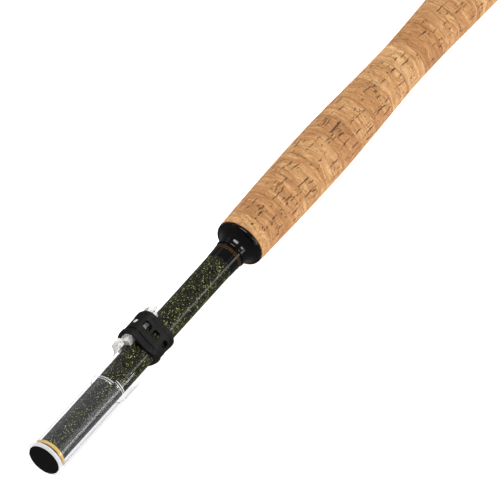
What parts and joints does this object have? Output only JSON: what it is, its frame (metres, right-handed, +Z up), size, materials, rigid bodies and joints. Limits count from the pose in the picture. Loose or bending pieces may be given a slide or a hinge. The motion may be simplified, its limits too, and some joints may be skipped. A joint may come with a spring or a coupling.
{
  "type": "telescopic fishing rod",
  "caption": "Closed telescopic fishing rod with a full cork handle, flared winding check, nested inner sections and a clear strapped cover over its tip end.",
  "frame": {"origin": "centre of the bounding box's base: under the middle of the closed rod, which lies on the two humps of its handle", "axes": "+X along the rod from the butt cap to the tip end, +Z up"},
  "size_m": [0.3932, 0.024, 0.0241],
  "materials": {
    "blank_lacquer": "gloss clear coat over dark green-black with fine gold-green glitter",
    "inner_lacquer": "gloss dark lacquer",
    "gold_metal": "polished gold",
    "black_gloss": "gloss black",
    "trim_cork": "sanded cork, fine grained",
    "cork": "sanded cork with dark pits",
    "bush_metal": "turned",
    "cap_metal": "black anodised satin",
    "black_rubber": "matte rubber",
    "black_matte": "matte",
    "clear_plastic": "clear, moulded"
  },
  "bodies": {
    "handle": {"blank_base": "blank_lacquer", "fore_wrap": "black_gloss", "gold_line_front": "gold_metal", "gold_line_rear": "gold_metal", "winding_check": "black_gloss", "cork_ring_01": "trim_cork", "cork_ring_02": "cork", "cork_ring_03": "cork", "cork_ring_04": "cork", "cork_ring_05": "cork", "cork_ring_06": "cork", "cork_ring_07": "cork", "cork_ring_08": "cork", "cork_ring_09": "cork", "cork_ring_10": "cork", "cork_ring_11": "cork", "cork_ring_12": "cork", "cork_ring_13": "cork", "cork_ring_14": "cork", "cork_ring_15": "cork", "cork_ring_16": "cork", "cork_ring_17": "cork", "cork_ring_18": "cork", "cork_ring_19": "cork", "cork_ring_20": "trim_cork", "butt_bush": "bush_metal"},
    "damper": {"damper_pad": "black_rubber"},
    "cap": {"butt_cap": "cap_metal"},
    "stage_2": {"section_2": "inner_lacquer"},
    "stage_3": {"section_3": "inner_lacquer"},
    "stage_4": {"section_4": "inner_lacquer"},
    "stage_5": {"section_5": "inner_lacquer"},
    "stage_6": {"section_6": "inner_lacquer"},
    "stage_7": {"section_7": "inner_lacquer"},
    "stage_8": {"section_8": "inner_lacquer"},
    "stage_9": {"section_9": "inner_lacquer"},
    "cover": {"cover_tube": "clear_plastic", "cover_ring": "gold_metal", "strap": "black_rubber"},
    "plug": {"nose_plug": "black_matte"}
  },
  "joints": [
    {"name": "section_2_slide", "type": "slide", "parent": "handle", "child": "stage_2", "axis": [1, 0, 0], "range_m": [0, 0.325]},
    {"name": "section_3_slide", "type": "slide", "parent": "stage_2", "child": "stage_3", "axis": [1, 0, 0], "range_m": [0, 0.325]},
    {"name": "section_4_slide", "type": "slide", "parent": "stage_3", "child": "stage_4", "axis": [1, 0, 0], "range_m": [0, 0.325]},
    {"name": "section_5_slide", "type": "slide", "parent": "stage_4", "child": "stage_5", "axis": [1, 0, 0], "range_m": [0, 0.325]},
    {"name": "section_6_slide", "type": "slide", "parent": "stage_5", "child": "stage_6", "axis": [1, 0, 0], "range_m": [0, 0.325]},
    {"name": "section_7_slide", "type": "slide", "parent": "stage_6", "child": "stage_7", "axis": [1, 0, 0], "range_m": [0, 0.325]},
    {"name": "section_8_slide", "type": "slide", "parent": "stage_7", "child": "stage_8", "axis": [1, 0, 0], "range_m": [0, 0.325]},
    {"name": "section_9_slide", "type": "slide", "parent": "stage_8", "child": "stage_9", "axis": [1, 0, 0], "range_m": [0, 0.325]},
    {"name": "cover_slide", "type": "slide", "parent": "stage_9", "child": "cover", "axis": [1, 0, 0], "range_m": [0, 0.11]},
    {"name": "plug_slide", "type": "slide", "parent": "cover", "child": "plug", "axis": [1, 0, 0], "range_m": [0, 0.02]},
    {"name": "cap_advance", "type": "slide", "parent": "handle", "child": "damper", "axis": [-1, 0, 0], "range_m": [0, 0.0061]},
    {"name": "cap_turn", "type": "hinge", "parent": "damper", "child": "cap", "pos_m": [-0.19665, 0, 0.01204], "axis": [-1, 0, 0], "range_deg": [0, 1800]}
  ],
  "couplings": [
    {"joint": "cap_advance", "follows": "cap_turn", "m_per_rad": 0.00019099}
  ]
}
